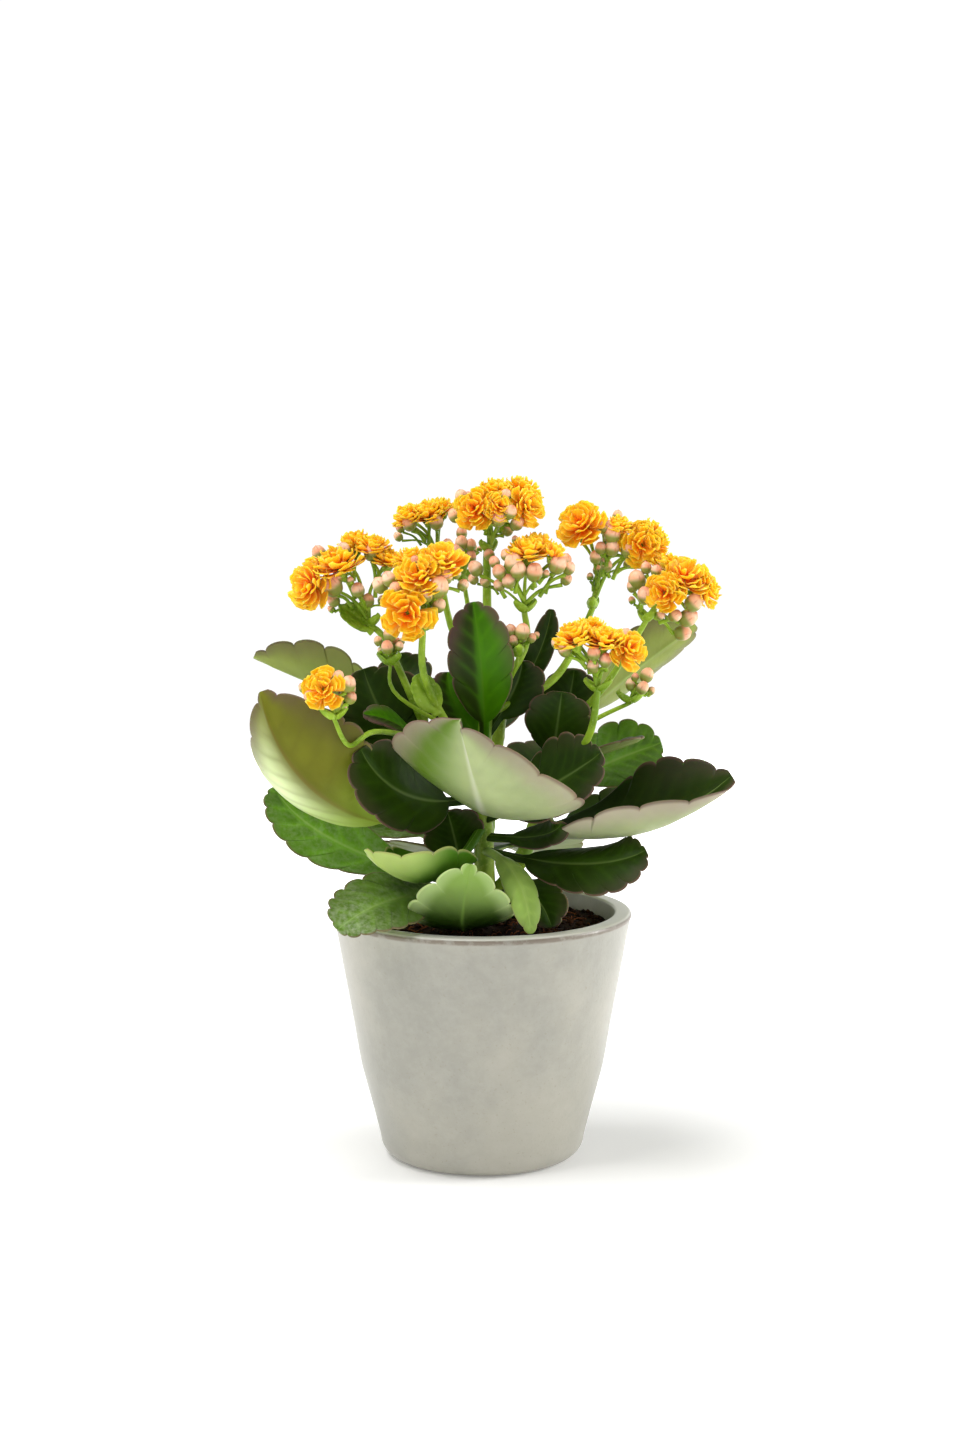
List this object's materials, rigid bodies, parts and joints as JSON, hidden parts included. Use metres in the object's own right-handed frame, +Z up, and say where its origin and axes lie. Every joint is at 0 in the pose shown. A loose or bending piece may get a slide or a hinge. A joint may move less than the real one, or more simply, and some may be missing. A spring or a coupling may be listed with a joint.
{
  "type": "potted kalanchoe",
  "caption": "Bushy flowering succulent with scalloped cupped leaves and clustered double flowers, in a tapered round pot with a flat foot.",
  "frame": {"origin": "centre of the flat foot that the pot stands on", "axes": "+Z up out of the pot; -Y is the side that the leaves and flowers face"},
  "size_m": [0.2075, 0.1605, 0.2959],
  "materials": {
    "glaze": "semi-gloss stoneware glaze, mottled pale grey-green",
    "soil": "matte dark potting soil with brown fibres",
    "stem": "satin green shoot",
    "leaf": "waxy succulent leaf, dark upper side and paler underside",
    "stalk": "satin yellow-green flower stalk and calyx",
    "petal": "soft golden-orange petals",
    "bud": "soft peach buds on green stalks"
  },
  "bodies": {
    "root": {"bloom_centre": "petal", "bloom_centre_left": "petal", "bloom_left": "petal", "bloom_left_low": "petal", "bloom_right": "petal", "bloom_right_low": "petal", "bloom_right_top": "petal", "bloom_top": "petal", "bloom_top_left": "petal", "leaf_back_left": "leaf", "leaf_back_low_left": "leaf", "leaf_back_low_right": "leaf", "leaf_back_middle": "leaf", "leaf_back_right": "leaf", "leaf_centre_dark": "leaf", "leaf_centre_far": "leaf", "leaf_centre_left": "leaf", "leaf_centre_right": "leaf", "leaf_centre_upright": "leaf", "leaf_front_broad": "leaf", "leaf_left_back": "leaf", "leaf_left_big": "leaf", "leaf_left_dark": "leaf", "leaf_left_far": "leaf", "leaf_left_low": "leaf", "leaf_left_rear": "leaf", "leaf_left_small": "leaf", "leaf_left_tall": "leaf", "leaf_left_wrinkled": "leaf", "leaf_low_arched": "leaf", "leaf_low_folded": "leaf", "leaf_low_pale": "leaf", "leaf_low_right": "leaf", "leaf_right_back": "leaf", "leaf_right_big": "leaf", "leaf_right_dark": "leaf", "leaf_right_edge": "leaf", "leaf_right_far": "leaf", "leaf_right_low": "leaf", "leaf_right_mid": "leaf", "leaf_right_small": "leaf", "leaf_right_upright": "leaf", "leaf_right_upright_far": "leaf", "leaf_rim_left": "leaf", "pot": "glaze", "soil": "soil", "stalks_bud_centre": "bud", "stalks_bud_left": "bud", "stalks_bud_right": "bud", "stalks_centre": "stalk", "stalks_centre_left": "stalk", "stalks_inner": "bud", "stalks_left": "stalk", "stalks_left_low": "stalk", "stalks_right": "stalk", "stalks_right_low": "stalk", "stalks_right_top": "stalk", "stalks_top": "stalk", "stalks_top_left": "stalk", "stem": "stem"}
  },
  "joints": []
}
